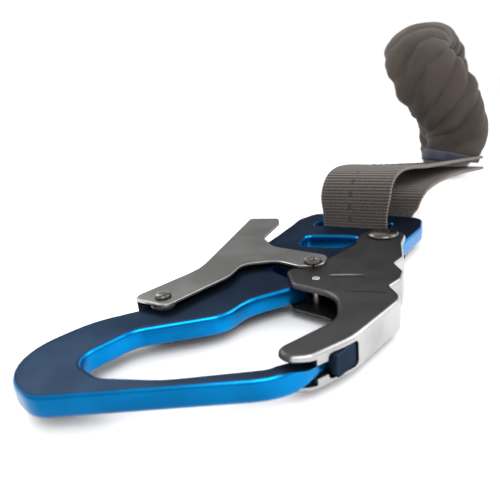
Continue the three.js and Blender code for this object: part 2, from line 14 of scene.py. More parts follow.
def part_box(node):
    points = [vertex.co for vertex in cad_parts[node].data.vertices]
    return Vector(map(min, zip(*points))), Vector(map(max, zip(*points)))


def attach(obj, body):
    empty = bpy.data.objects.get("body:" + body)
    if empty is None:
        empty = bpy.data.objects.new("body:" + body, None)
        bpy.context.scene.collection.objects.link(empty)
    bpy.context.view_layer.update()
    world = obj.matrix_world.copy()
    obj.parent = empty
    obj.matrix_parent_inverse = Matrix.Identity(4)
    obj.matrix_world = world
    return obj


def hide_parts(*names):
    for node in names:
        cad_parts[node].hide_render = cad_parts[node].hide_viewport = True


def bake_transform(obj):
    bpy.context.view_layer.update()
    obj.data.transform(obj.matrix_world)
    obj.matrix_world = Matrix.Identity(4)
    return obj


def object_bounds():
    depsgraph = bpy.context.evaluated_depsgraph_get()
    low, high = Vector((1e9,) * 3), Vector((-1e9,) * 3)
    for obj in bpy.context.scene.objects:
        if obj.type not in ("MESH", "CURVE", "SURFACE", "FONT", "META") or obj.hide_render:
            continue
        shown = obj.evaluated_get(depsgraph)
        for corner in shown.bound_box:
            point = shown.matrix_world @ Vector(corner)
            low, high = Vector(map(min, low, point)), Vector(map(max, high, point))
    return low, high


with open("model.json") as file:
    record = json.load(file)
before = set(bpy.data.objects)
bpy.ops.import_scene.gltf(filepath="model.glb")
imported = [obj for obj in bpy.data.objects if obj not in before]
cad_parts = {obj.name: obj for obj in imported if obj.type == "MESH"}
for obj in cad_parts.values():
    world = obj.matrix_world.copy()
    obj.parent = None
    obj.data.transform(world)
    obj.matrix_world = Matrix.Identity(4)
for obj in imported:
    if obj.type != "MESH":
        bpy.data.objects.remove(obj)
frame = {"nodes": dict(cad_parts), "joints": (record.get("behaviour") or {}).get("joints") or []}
cad_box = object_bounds()

MM = 0.001


# ---------------------------------------------------------------- places read from the frame
def joint_place(name):
    """Position and axis of a joint of the frame."""
    found = [j for j in frame["joints"] if j["name"] == name][0]
    return Vector(found.get("pos_m", (0, 0, 0))), Vector(found["axis"]).normalized()


GATE_PIVOT, _ = joint_place("gate_swing")
LEVER_PIVOT, _ = joint_place("lever_squeeze")
LOOP_HINGE, BAR_ACROSS = joint_place("loop_swing")
LOW_BEND, LANYARD_ACROSS = joint_place("lanyard_bend_low")
TOP_BEND, _ = joint_place("lanyard_bend_top")
_, TAIL_DIRECTION = joint_place("lanyard_stretch")
END_HINGE, END_ACROSS = joint_place("end_loop_swing")
PLATE_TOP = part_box("hook_body")[1].z
FLOOR = cad_box[0][2]


# ---------------------------------------------------------------- material helpers
class Nodes:
    """A material's node tree, with short calls to add and link nodes."""

    def __init__(self, name):
        self.material = bpy.data.materials.new(name)
        self.material.use_nodes = True
        self.tree = self.material.node_tree
        self.shader = self.tree.nodes["Principled BSDF"]

    def add(self, kind, **values):
        node = self.tree.nodes.new("ShaderNode" + kind)
        for key, value in values.items():
            if hasattr(node, key):
                setattr(node, key, value)
            else:
                node.inputs[key.replace("_", " ")].default_value = value
        return node

    def link(self, source, target):
        self.tree.links.new(source, target)

    def maths(self, operation, first, second=None):
        node = self.tree.nodes.new("ShaderNodeMath")
        node.operation = operation
        for slot, value in enumerate((first, second)):
            if value is None:
                continue
            if isinstance(value, (int, float)):
                node.inputs[slot].default_value = value
            else:
                self.link(value, node.inputs[slot])
        return node.outputs[0]

    def mix(self, factor, first, second):
        node = self.tree.nodes.new("ShaderNodeMix")
        node.data_type = "RGBA"
        self.link(factor, node.inputs[0])
        for slot, value in ((6, first), (7, second)):
            if isinstance(value, tuple):
                node.inputs[slot].default_value = (*value, 1.0)
            else:
                self.link(value, node.inputs[slot])
        return node.outputs[2]

    def ramp(self, value, low, high, to_low=0.0, to_high=1.0):
        node = self.add("MapRange", interpolation_type="SMOOTHSTEP")
        self.link(value, node.inputs[0])
        for slot, number in enumerate((low, high, to_low, to_high), start=1):
            node.inputs[slot].default_value = number
        return node.outputs[0]

    def noise(self, scale, detail=2.0, stretch=(1, 1, 1), source="Object"):
        coordinates = self.add("TexCoord")
        mapping = self.add("Mapping")
        mapping.inputs["Scale"].default_value = stretch
        self.link(coordinates.outputs[source], mapping.inputs["Vector"])
        texture = self.add("TexNoise")
        texture.inputs["Scale"].default_value = scale
        texture.inputs["Detail"].default_value = detail
        self.link(mapping.outputs[0], texture.inputs["Vector"])
        return texture.outputs[0]

    def bump(self, height, strength, distance):
        node = self.add("Bump")
        node.inputs["Strength"].default_value = strength
        node.inputs["Distance"].default_value = distance
        self.link(height, node.inputs["Height"])
        self.link(node.outputs[0], self.shader.inputs["Normal"])

    def set(self, **values):
        for key, value in values.items():
            socket = self.shader.inputs[key.replace("_", " ")]
            if isinstance(value, (int, float)):
                socket.default_value = value
            elif isinstance(value, tuple):
                socket.default_value = (*value, 1.0)
            else:
                self.link(value, socket)
        return self.material


GRAIN_DEPTH = 0.0004     # of the fine grain in metal
RIDGE_CORE = 0.0002      # from a ridge's middle, all of it fully lit
RIDGE_REACH = 0.0011     # from a ridge's middle to where its light ends
RIDGE_COLOUR = (0.42, 0.42, 0.41)
WARPS = 26               # waves of warp across a strap
DASH_PITCH = 0.0082      # of the tracer line in the webbing
TRACER_PLACE = 0.44      # share of the strap's width where the tracer runs
TRACER_HALF = 0.026      # half of the tracer's width, as a share of the strap's


def ridge_light(nodes, coordinates, start, end):
    """Light on a pressed ridge: strongest at its start, faint towards its end."""
    run = end - start
    along_axis = run / run.length_squared
    across_axis = Vector((-run.y, run.x, 0)).normalized()
    offset = nodes.add("VectorMath", operation="SUBTRACT")
    nodes.link(coordinates.outputs["Object"], offset.inputs[0])
    offset.inputs[1].default_value = start
    measured = []
    for axis in (along_axis, across_axis):
        product = nodes.add("VectorMath", operation="DOT_PRODUCT")
        nodes.link(offset.outputs[0], product.inputs[0])
        product.inputs[1].default_value = axis
        measured.append(product.outputs["Value"])
    along, across = measured
    fade = nodes.ramp(along, 0.45, 1.0, 0.8, 0.0)
    begun = nodes.ramp(along, -0.05, 0.1)
    close = nodes.ramp(nodes.maths("ABSOLUTE", across), RIDGE_CORE, RIDGE_REACH, 1.0, 0.0)
    return nodes.maths("MULTIPLY", nodes.maths("MULTIPLY", fade, begun), close)


def painted_light_metal(name, flat, edge, flat_rough, edge_rough, dark_zone=None, lit_minus_y_only=False,
                   painted_minus_x_shade=False, ridge=None):
    """Metal painted with light and shade: its broad level faces take a dark colour, a painted
    reflection of dark surroundings, and its upright edges a lighter one, a painted highlight;
    each has its own roughness. A dark zone, given by its lowest and highest corners, takes the
    level faces' dark colour all over. With the first flag only the edges that face -Y keep the
    painted highlight and the rest take the painted shade. With the second the faces that look
    to -X are darker, as painted shade, and the rest lighter, as painted light. A ridge, given by
    its two ends, is a soft light line."""
    nodes = Nodes(name)
    coordinates = nodes.add("TexCoord")
    split = nodes.add("SeparateXYZ")
    nodes.link(coordinates.outputs["Normal"], split.inputs[0])
    level = nodes.maths("ABSOLUTE", split.outputs[2])
    flatness = nodes.ramp(level, 0.72, 0.97)
    # painted light: only edges that face -Y keep the painted highlight, the rest take the painted shade
    if lit_minus_y_only:
        flatness = nodes.maths("MAXIMUM", flatness, nodes.ramp(split.outputs[1], -0.65, -0.3))
    if dark_zone:
        place = nodes.add("SeparateXYZ")
        nodes.link(coordinates.outputs["Object"], place.inputs[0])
        inside = None
        for low, high, socket in zip(*dark_zone, place.outputs):
            above = nodes.maths("GREATER_THAN", socket, low)
            below = nodes.maths("LESS_THAN", socket, high)
            side = nodes.maths("MULTIPLY", above, below)
            inside = side if inside is None else nodes.maths("MULTIPLY", inside, side)
        flatness = nodes.maths("MAXIMUM", flatness, inside)
    cloudy = nodes.ramp(nodes.noise(55, 3), 0.35, 0.65, 0.9, 1.12)
    # painted shade on faces that look to -X, painted light on the rest
    if painted_minus_x_shade:
        cloudy = nodes.maths("MULTIPLY", cloudy, nodes.ramp(split.outputs[0], -0.85, -0.3, 0.6, 1.18))
    # painted light: level faces take the dark colour as a painted reflection, edges the light one as a
    # painted highlight
    colour = nodes.mix(flatness, edge, flat)
    if ridge:
        colour = nodes.mix(ridge_light(nodes, coordinates, *ridge), colour, RIDGE_COLOUR)
    shade = nodes.add("VectorMath", operation="SCALE")
    nodes.link(colour, shade.inputs[0])
    nodes.link(cloudy, shade.inputs["Scale"])
    rough = nodes.ramp(flatness, 0, 1, edge_rough, flat_rough)
    glance = nodes.mix(flatness, (1.0, 1.0, 1.0), (0.35, 0.35, 0.35))
    nodes.bump(nodes.noise(2600, 2), 0.02, GRAIN_DEPTH)
    return nodes.set(Base_Color=shade.outputs[0], Roughness=rough, Metallic=0.95, Specular_Tint=glance)


def plain_metal(name, colour, rough, metallic=1.0, grain=0.03):
    """One colour with a fine grain, and a roughness that varies from place to place."""
    nodes = Nodes(name)
    nodes.bump(nodes.noise(1800, 2), grain, GRAIN_DEPTH)
    wear = nodes.ramp(nodes.noise(120, 3), 0.3, 0.7, rough * 0.8, rough * 1.25)
    return nodes.set(Base_Color=colour, Roughness=wear, Metallic=metallic)


def woven(name, colour, valley_shade, rib_pitch, tracer=None, selvedge=None):
    """Webbing with ribs across its length, painted darker as shade in the valleys between them;
    u runs across the strap and v along it in metres.
    A tracer is a dashed line, and the selvedge colour is a painted highlight on the strap's rounded
    edges."""
    nodes = Nodes(name)
    coordinates = nodes.add("TexCoord")
    split = nodes.add("SeparateXYZ")
    nodes.link(coordinates.outputs["UV"], split.inputs[0])
    across, along = split.outputs[0], split.outputs[1]
    ribs = nodes.maths("SINE", nodes.maths("MULTIPLY", along, 2 * math.pi / rib_pitch))
    warp = nodes.maths("SINE", nodes.maths("MULTIPLY", across, 2 * math.pi * WARPS))
    weave = nodes.maths("ADD", ribs, nodes.maths("MULTIPLY", warp, 0.45))
    weave = nodes.maths("ADD", weave, nodes.maths("MULTIPLY", nodes.noise(900, 2), 0.8))
    # painted shade: the valleys between the ribs take the darker colour
    base = nodes.mix(nodes.ramp(weave, -1.1, 1.2), valley_shade, colour)
    cloudy = nodes.noise(70, 2)
    base = nodes.mix(nodes.ramp(cloudy, 0.3, 0.8, 0, 0.35), base, tuple(c * 1.35 for c in colour))
    if tracer:
        dash = nodes.maths("FRACT", nodes.maths("MULTIPLY", along, 1 / DASH_PITCH))
        dash = nodes.maths("LESS_THAN", dash, 0.48)
        middle = nodes.maths("ABSOLUTE", nodes.maths("SUBTRACT", across, TRACER_PLACE))
        middle = nodes.maths("LESS_THAN", middle, TRACER_HALF)
        base = nodes.mix(nodes.maths("MULTIPLY", dash, middle), base, tracer)
    # painted highlight along the strap's rounded edges
    if selvedge:
        edge = nodes.maths("ABSOLUTE", nodes.maths("SUBTRACT", across, 0.5))
        base = nodes.mix(nodes.ramp(edge, 0.485, 0.515), base, selvedge)
    nodes.bump(weave, 0.8, 0.0008)
    return nodes.set(Base_Color=base, Roughness=0.88, Sheen_Weight=0.25, Sheen_Roughness=0.5)


def crumpled_cloth(name, colour, hollow_shade):
    """Gathered cloth with painted shade between its folds; u says how high a place is on its fold."""
    nodes = Nodes(name)
    fine = nodes.noise(1500, 2)
    broad = nodes.noise(90, 4)
    coordinates = nodes.add("TexCoord")
    split = nodes.add("SeparateXYZ")
    nodes.link(coordinates.outputs["UV"], split.inputs[0])
    fold = nodes.maths("ADD", split.outputs[0], nodes.maths("MULTIPLY", broad, 0.5))
    # painted shade between the folds, lighter colour on their crests
    base = nodes.mix(nodes.ramp(fold, 0.3, 1.1), hollow_shade, colour)
    height = nodes.maths("ADD", nodes.maths("MULTIPLY", fine, 0.5), nodes.maths("MULTIPLY", broad, 0.9))
    nodes.bump(height, 0.6, 0.0011)
    return nodes.set(Base_Color=base, Roughness=0.93, Sheen_Weight=0.1, Sheen_Roughness=0.5)


# In the hook, gate and lever metals the dark level faces are a painted reflection and the light edges a
# painted highlight.
MATERIALS = {
    "forging": painted_light_metal("blue_anodised", (0.022, 0.034, 0.056), (0.0, 0.17, 0.44), 0.42, 0.25,
                              dark_zone=(GATE_PIVOT + Vector((-0.1200, -0.050, -0.02)),
                                         GATE_PIVOT + Vector((-0.1065, -0.030, 0.02))),
                              # the hook takes painted shade on faces that look to -X and painted light
                              # elsewhere
                              painted_minus_x_shade=True),
    "gate_steel": painted_light_metal("gate_satin", (0.075, 0.074, 0.075), (0.42, 0.42, 0.42), 0.40, 0.34,
                                 # the gate's painted highlight stays only on edges that face -Y
                                 lit_minus_y_only=True, ridge=(GATE_PIVOT + Vector((-0.0655, -0.0066, 0)),
                                                       GATE_PIVOT + Vector((-0.0561, -0.0222, 0)))),
    "lever_steel": painted_light_metal("lever_satin", (0.20, 0.198, 0.195), (0.50, 0.48, 0.45), 0.4, 0.3),
    "rivet_steel": plain_metal("rivet_steel", (0.10, 0.094, 0.088), 0.18),
    "pin_steel": plain_metal("pin_steel", (0.50, 0.42, 0.38), 0.3),
    "spring_steel": plain_metal("spring_steel", (0.16, 0.15, 0.15), 0.35),
    "bush_brass": plain_metal("bush_brass", (0.42, 0.30, 0.14), 0.35),
    "webbing": woven("webbing_brown", (0.064, 0.047, 0.037), (0.026, 0.020, 0.016), 0.0021,
                     # the selvedge colour is a painted highlight on the rounded edges
                     tracer=(0.012, 0.010, 0.010), selvedge=(0.15, 0.115, 0.10)),
    "jacket": crumpled_cloth("jacket_brown", (0.043, 0.031, 0.024), (0.014, 0.010, 0.008)),
    "core": woven("core_pale", (0.50, 0.46, 0.38), (0.34, 0.31, 0.25), 0.0016),
    "thread": plain_metal("thread_dark", (0.018, 0.016, 0.015), 0.8, metallic=0.0, grain=0.2),
    "band": woven("band_blue", (0.014, 0.026, 0.075), (0.007, 0.012, 0.034), 0.0018),
}


# ---------------------------------------------------------------- mesh helpers
def add_object(name, points, faces, slot, uvs=None):
    """A new smooth mesh object from points in metres, with the slot's material."""
    mesh = bpy.data.meshes.new(name)
    mesh.from_pydata([tuple(p) for p in points], [], faces)
    mesh.update()
    if uvs is not None:
        layer = mesh.uv_layers.new(name="UVMap")
        for loop in mesh.loops:
            layer.data[loop.index].uv = uvs[loop.vertex_index]
    mesh.shade_smooth()
    piece = bpy.data.objects.new(name, mesh)
    bpy.context.scene.collection.objects.link(piece)
    mesh.materials.append(MATERIALS[slot])
    return piece


def refine(node, name, body, slot, sharp, bevel=0.0):
    """A finer copy of a metal CAD node: welded, smooth over its curves and crisp at its edges, which
    are those sharper than an angle in degrees; a bevel rounds them."""
    source = frame["nodes"][node]
    mesh = source.data.copy()
    mesh.name = name
    work = bmesh.new()
    work.from_mesh(mesh)
    bmesh.ops.remove_doubles(work, verts=work.verts, dist=2e-6)
    bmesh.ops.dissolve_limit(work, angle_limit=math.radians(0.4), verts=work.verts, edges=work.edges)
    work.to_mesh(mesh)
    work.free()
    mesh.materials.clear()
    mesh.materials.append(MATERIALS[slot])
    mesh.shade_smooth()
    mesh.set_sharp_from_angle(angle=math.radians(sharp))
    piece = bpy.data.objects.new(name, mesh)
    bpy.context.scene.collection.objects.link(piece)
    if bevel:
        rounding = piece.modifiers.new("edge", "BEVEL")
        rounding.width = bevel
        rounding.segments = 2
        rounding.limit_method = "ANGLE"
        rounding.angle_limit = math.radians(sharp)
    weighted = piece.modifiers.new("normals", "WEIGHTED_NORMAL")
    weighted.keep_sharp = True
    weighted.weight = 100
    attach(piece, body)
    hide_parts(node)
    return piece


def eased(share):
    """A smooth step from 0 to 1."""
    share = max(0.0, min(1.0, share))
    return share * share * (3 - 2 * share)


def distances(path):
    """Distance along a path at each of its points."""
    steps = np.linalg.norm(np.diff(path[:, :3], axis=0), axis=1)
    return np.concatenate([[0], np.cumsum(steps)])


def between(t, start, stop, first, second):
    """The value at t on the line that passes first at start and second at stop."""
    return (stop - t) / (stop - start) * first + (t - start) / (stop - start) * second


def spline(controls, count):
    """Points spaced evenly along a centripetal Catmull-Rom curve through rows of numbers, of which
    the first three are a place."""
    span_steps = 24
    rows = np.array(controls, float)
    ends = (2 * rows[0] - rows[1], 2 * rows[-1] - rows[-2])
    rows = np.vstack([ends[0], rows, ends[1]])
    dense = []
    for i in range(1, len(rows) - 2):
        a, b, c, d = rows[i - 1:i + 3]
        knots = [0.0]
        for here, ahead in ((a, b), (b, c), (c, d)):
            knots.append(knots[-1] + max(np.linalg.norm((ahead - here)[:3]), 1e-9) ** 0.5)
        t0, t1, t2, t3 = knots
        for t in np.linspace(t1, t2, span_steps, endpoint=False):
            p1 = between(t, t0, t1, a, b)
            p2 = between(t, t1, t2, b, c)
            p3 = between(t, t2, t3, c, d)
            q1 = between(t, t0, t2, p1, p2)
            q2 = between(t, t1, t3, p2, p3)
            dense.append(between(t, t1, t2, q1, q2))
    dense.append(rows[-2])
    dense = np.array(dense)
    distance = distances(dense)
    wanted = np.linspace(0, distance[-1], count)
    return np.stack([np.interp(wanted, distance, dense[:, k]) for k in range(dense.shape[1])], axis=1)


def ring_quads(start, count, size, closed=False):
    """Faces between rings of points that follow one another; closed joins the last to the first."""
    faces = []
    for i in range(count if closed else count - 1):
        here = start + i * size
        ahead = start + (i + 1) % count * size
        for k in range(size):
            beside = (k + 1) % size
            faces.append((here + k, here + beside, ahead + beside, ahead + k))
    return faces


def strap(name, centres, across, width, thickness, slot, flip=False, shares=None):
    """A flat strap with rounded selvedges, closed at both ends; across may change along it, and
    shares, one for each centre, narrow it. Its u runs a little past 0 and 1 on the selvedges."""
    lanes = 12
    turns = 4
    half = width / 2
    bulge = thickness * 0.42
    outline = []
    for k in range(lanes + 1):
        outline.append((-half + width * k / lanes, thickness / 2, k / lanes))
    for k in range(1, turns):
        angle = math.pi / 2 - math.pi * k / turns
        outline.append((half + bulge * math.cos(angle), thickness / 2 * math.sin(angle), 1.02))
    for k in range(lanes + 1):
        outline.append((half - width * k / lanes, -thickness / 2, 1 - k / lanes))
    for k in range(1, turns):
        angle = -math.pi / 2 - math.pi * k / turns
        outline.append((-half + bulge * math.cos(angle), thickness / 2 * math.sin(angle), -0.02))
    size = len(outline)
    count = len(centres)
    points, uvs = [], []
    travelled = 0.0
    for i in range(count):
        here = Vector(centres[i])
        before = Vector(centres[max(i - 1, 0)])
        after = Vector(centres[min(i + 1, count - 1)])
        if i:
            travelled += (here - before).length
        along = (after - before).normalized()
        side = Vector(across[i]).normalized()
        up = side.cross(along).normalized()
        if flip:
            up = -up
        share = shares[i] if shares else 1.0
        for lateral, height, u in outline:
            points.append(here + side * lateral * share + up * height)
            uvs.append((u, travelled))
    faces = ring_quads(0, count, size)
    faces.append(tuple(range(size - 1, -1, -1)))
    faces.append(tuple((count - 1) * size + k for k in range(size)))
    piece = add_object(name, points, faces, slot, uvs)
    tidy_normals(piece)
    return piece


def tidy_normals(piece):
    """Turn the piece's faces outwards and shade it smooth."""
    work = bmesh.new()
    work.from_mesh(piece.data)
    bmesh.ops.recalc_face_normals(work, faces=work.faces)
    work.to_mesh(piece.data)
    work.free()
    piece.data.shade_smooth()


STITCH_LENGTH = 0.0042
STITCH_THICK = 0.0009
ROW_STITCHES = 8         # in each row across a strap
ROW_HALF = 0.0165        # half of the length of such a row
EDGE_LINE = 0.0188       # from a strap's middle to the thread along its selvedge


def sewn_pattern(spot_at, cross_rows, edge_rows):
    """Places for stitches: rows across a strap, then a line along each selvedge. Both are given as
    (first distance, step, count); spot_at gives the point, the run, the side and the up there."""
    places = []
    first, step, count = cross_rows
    for r in range(count):
        for c in range(ROW_STITCHES):
            lateral = -ROW_HALF + 2 * ROW_HALF * c / (ROW_STITCHES - 1)
            point, _, side, up = spot_at(first + step * r, lateral)
            places.append((point, side, up))
    first, step, count = edge_rows
    for lateral in (-EDGE_LINE, EDGE_LINE):
        for r in range(count):
            point, run, _, up = spot_at(first + step * r, lateral)
            places.append((point, run, up))
    return places


def stitches(name, places):
    """Thread stitches lying on cloth: one small rounded bar at each (point, direction, up)."""
    points, faces = [], []
    rings, sides = 5, 6
    for centre, direction, up in places:
        direction = Vector(direction).normalized()
        up = Vector(up).normalized()
        side = direction.cross(up).normalized()
        start = len(points)
        for r in range(rings):
            share = r / (rings - 1)
            swell = math.sin(math.pi * (0.08 + 0.84 * share)) ** 0.5
            middle = Vector(centre) + direction * STITCH_LENGTH * (share - 0.5)
            for k in range(sides):
                angle = 2 * math.pi * k / sides
                radial = side * math.cos(angle) + up * 0.75 * math.sin(angle)
                points.append(middle + radial * STITCH_THICK / 2 * swell)
        faces += ring_quads(start, rings, sides)
        faces.append(tuple(start + k for k in range(sides - 1, -1, -1)))
        faces.append(tuple(start + (rings - 1) * sides + k for k in range(sides)))
    return add_object(name, points, faces, "thread")


# ---------------------------------------------------------------- metal parts
def metal_parts():
    """Every metal piece, as a finer copy of its CAD node."""
    refine("hook_body", "hook_forging", "hook", "forging", 50, 0.0004)
    refine("gate_channel", "gate_shell", "gate", "gate_steel", 50, 0.0002)
    refine("lever_channel", "lever_shell", "lever", "lever_steel", 50, 0.0002)
    refine("gate_pivot_rivet", "gate_rivet", "hook", "rivet_steel", 60)
    refine("lever_pivot_rivet", "lever_rivet", "hook", "rivet_steel", 60)
    refine("lever_arm_rivet", "arm_rivet", "lever", "rivet_steel", 60)
    refine("lock_pin", "lock_peg", "lever", "rivet_steel", 40, 0.0002)
    cross_pin = refine("gate_cross_pin", "cross_pin", "gate", "rivet_steel", 40, 0.0002)
    cross_pin.data.materials[0] = MATERIALS["pin_steel"]
    refine("gate_bush", "gate_sleeve", "hook", "bush_brass", 40)
    refine("lever_bush", "lever_sleeve", "hook", "bush_brass", 40)
    refine("lever_spacer", "lever_washer", "hook", "rivet_steel", 40)
    refine("gate_spring", "gate_coil", "hook", "spring_steel", 60)
    refine("lever_spring", "lever_coil", "hook", "spring_steel", 60)


# ---------------------------------------------------------------- webbing loop on the hook
BAR_NORMAL = Vector((-BAR_ACROSS.y, BAR_ACROSS.x, 0))
NOMINAL_WIDTH = 45       # of the webbing in the frame, in millimetres
WRAP_INSET = 1.2         # from the wrap's outer face to its middle, in millimetres
STRAP_WIDTH = 0.0462
STRAP_THICK = 0.0023
STRAP_STATIONS = 300
STRAP_SHIFT = 0.0006     # of the strap along the bar, towards the lever's side
TILT_ARM = 0.0225        # a tilt is how much the strap rises over this distance along the bar
SQUEEZE = 0.075          # share of its width that the strap loses in the slot
SQUEEZE_START = 0.002    # above the plate, where the strap begins to widen again
SQUEEZE_RUN = 0.016      # height over which it widens
THREAD_LIFT = 0.0016     # of the thread over the middle of the strap's thickness


def tilted_side(tilt):
    """Direction across the strap where it has a tilt."""
    return BAR_ACROSS + Vector((0, 0, tilt / TILT_ARM))


def build_hook_strap():
    """The webbing from the jacket down to the slot, round the eye's bar and back; gives its path."""
    wrap_low, wrap_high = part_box("eye_wrap_webbing")
    bar = Vector((LOOP_HINGE.x, LOOP_HINGE.y, 0)) / MM
    reach = (wrap_high.x - wrap_low.x) / MM
    width_share = abs(BAR_ACROSS.x) * NOMINAL_WIDTH
    half_gap = (reach - width_share) / 2 / abs(BAR_NORMAL.x) - WRAP_INSET
    top = PLATE_TOP / MM
    low = wrap_low.z / MM + WRAP_INSET
    shift = -BAR_ACROSS * STRAP_SHIFT / MM

    def at(out, height, slip=0.0, tilt=0.0):
        """A control point at a distance out from the front strand, slipped along +Y."""
        plan = bar + shift + BAR_NORMAL * (out - half_gap)
        return (plan.x, plan.y + slip, height, tilt)

    far = half_gap * 2
    run = LOW_BEND / MM
    front = [
        (run.x - 1, run.y - 1, top + 22.6, 3.4), at(85, top + 24.2, -30.5, 2.4),
        at(62, top + 27.6, -22, 0.6), at(44, top + 30.2, -15, -0.6), at(30, top + 32.2, -9.6, -0.8),
        at(18, top + 32.2, -5.2, -0.6), at(9, top + 28.8, -2.2, -0.3), at(3.5, top + 22.4, -0.6),
        at(0.8, top + 14), at(0, top + 4), at(0, top - 2),
    ]
    round_bar = [
        at(0, low + 3.2), at(0.6, low + 1.1), at(2.4, low + 0.1), at(far / 2, low, -2.5),
        at(far - 4, low + 0.2, -5), at(far - 0.6, low + 4, -8.5), at(far, low + 10, -11.5),
    ]
    back = [
        at(far + 0.4, top + 2, -14), at(far + 2, top + 9.5, -16), at(far + 7.5, top + 14.2, -17.5, -0.6),
        at(far + 17, top + 16.2, -20, -0.6), at(far + 33, top + 17.3, -24.5, -0.4),
        at(far + 52, top + 17.9, -31, -0.3), (run.x, run.y - 1.2, top + 17.9, -0.3),
    ]
    controls = front + round_bar + back
    path = spline([(x * MM, y * MM, z * MM, t * MM) for x, y, z, t in controls], STRAP_STATIONS)
    centres = path[:, :3]
    across = [tuple(tilted_side(tilt)) for tilt in path[:, 3]]
    widening = [eased((z - PLATE_TOP - SQUEEZE_START) / SQUEEZE_RUN) for z in centres[:, 2]]
    shares = [1 - SQUEEZE * (1 - widened) for widened in widening]
    piece = strap("hook_loop_strap", centres, across, STRAP_WIDTH, STRAP_THICK, "webbing",
                  flip=True, shares=shares)
    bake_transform(piece)
    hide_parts("eye_wrap_webbing", "hook_loop_webbing")
    return path


def loop_stitching(path):
    """Thread on the upper side of the front strand, from its end at the jacket."""
    distance = distances(path)

    def on_run(along, lateral):
        row = [np.interp(along, distance, path[:, k]) for k in range(4)]
        ahead = [np.interp(along + 0.001, distance, path[:, k]) for k in range(3)]
        side = tilted_side(row[3]).normalized()
        forward = (Vector(ahead) - Vector(row[:3])).normalized()
        up = side.cross(forward).normalized()
        up = up if up.z > 0 else -up
        return Vector(row[:3]) + side * lateral + up * THREAD_LIFT, forward, side, up

    piece = stitches("hook_loop_thread", sewn_pattern(on_run, (0.018, 0.006, 7), (0.016, 0.0052, 9)))
    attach(piece, "hook_loop")
    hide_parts("hook_loop_stitching")


# ---------------------------------------------------------------- gathered jacket
STATIONS = 420           # along the jacket's middle line
STRETCH_SHARE = 0.845    # of the stations that lie before the sliding joint
MOUTH_STATIONS = (0, 5)
END_STATIONS = (STATIONS - 16, STATIONS - 4)
FOOT_HALF_WIDTH = 0.0215
HALF_DEPTH = 0.0138
END_HALF_WIDTH = 0.0256  # of the end band
END_HALF_DEPTH = 0.0144  # of the end band
MOUTH_GATHER = 0.016     # run over which the jacket is drawn in at its mouth
END_GATHER = 0.014       # run over which it is drawn in at its end
SEAT_RUN = 0.026         # of the foot that leans to meet the strap
FOLD_SCALE = 4.6         # millimetres along the jacket for each radian of its folds
CREASE_DEPTH = 0.0027    # of the regular folds, at full strength
LUMP_DEPTH = 0.0018      # of the broad unevenness
RIPPLE_DEPTH = 0.0011    # of the smaller unevenness
FINE_DEPTH = 0.0005      # of the finest
SHADE_SCALE = 0.005      # swell of the cloth that changes its shade by 1
SEAT_LEAN = 0.0036       # half of the foot's drop at its low side
SEAT_SINK = 0.0006       # of the whole foot into the strap
FLOOR_GAP = 0.0004       # least height of the cloth over the floor
JACKET_WALL = 0.0012
BAND_WALL = 0.0011
BAND_WEAVE_STEP = 0.0021


def centre_line():
    """The jacket's middle line, from offsets to the lower bend in millimetres."""
    offsets = [
        (0, 0, 3), (4.5, -3.5, 21), (-0.5, 4.2, 43), (-8, 16, 63), (-2.5, 28, 81.5), (24, 34.5, 91),
        (58, 37.5, 82), (78, 38.5, 53), (91, 39.5, 21), (108, 44.5, -7), (135, 52.5, -22),
        (172, 64, -24.7), (207, 75, -24.7),
    ]
    return spline([LOW_BEND + Vector(offset) * MM for offset in offsets], STATIONS)


def seat_drop(sideways, travelled):
    """How far the jacket's foot leans down to meet the tilted strap under it."""
    fade = max(0.0, 1 - travelled / SEAT_RUN)
    return -SEAT_LEAN * (1 - sideways) * fade * fade - SEAT_SINK * fade


def ring_frame(line, i):
    """Centre, sideways and depth directions of the jacket at a station."""
    count = len(line)
    along = (Vector(line[min(i + 1, count - 1)]) - Vector(line[max(i - 1, 0)])).normalized()
    depth = along.cross(LANYARD_ACROSS).normalized()
    side = depth.cross(along).normalized()
    return Vector(line[i]), side, depth


def fold_height(along, sideways, inward):
    """Height of the gathered cloth at a distance along the jacket and a direction round it."""
    wander = noise.noise(Vector((along * 17, 0.8 * sideways + 5, 0.8 * inward))) * 1.8
    phase = along * 1000 / FOLD_SCALE - 2.7 * sideways - 0.9 * inward + wander
    crease = abs(math.sin(phase)) ** 0.7
    strength = 0.6 + 0.4 * noise.noise(Vector((along * 21 + 3, 1.1 * sideways, 1.1 * inward + 4)))
    lump = noise.noise(Vector((along * 26 + 7, 0.7 * sideways + 3, 0.7 * inward)))
    ripple = noise.noise(Vector((along * 90 - sideways * 2.6, 0.9 * sideways, 0.9 * inward + 9)))
    fine = noise.noise(Vector((along * 300 - sideways * 5, 2.0 * sideways, 2.0 * inward + 2)))
    creases = CREASE_DEPTH * strength * (crease - 0.66)
    return creases + LUMP_DEPTH * lump + RIPPLE_DEPTH * ripple + FINE_DEPTH * fine


def half_width(along):
    """Half of the jacket's width: it widens above the foot and then narrows a little."""
    widening = 0.0035 * eased((along - 0.020) / 0.025)
    narrowing = 0.0020 * eased((along - 0.055) / 0.030)
    return FOOT_HALF_WIDTH + widening - narrowing


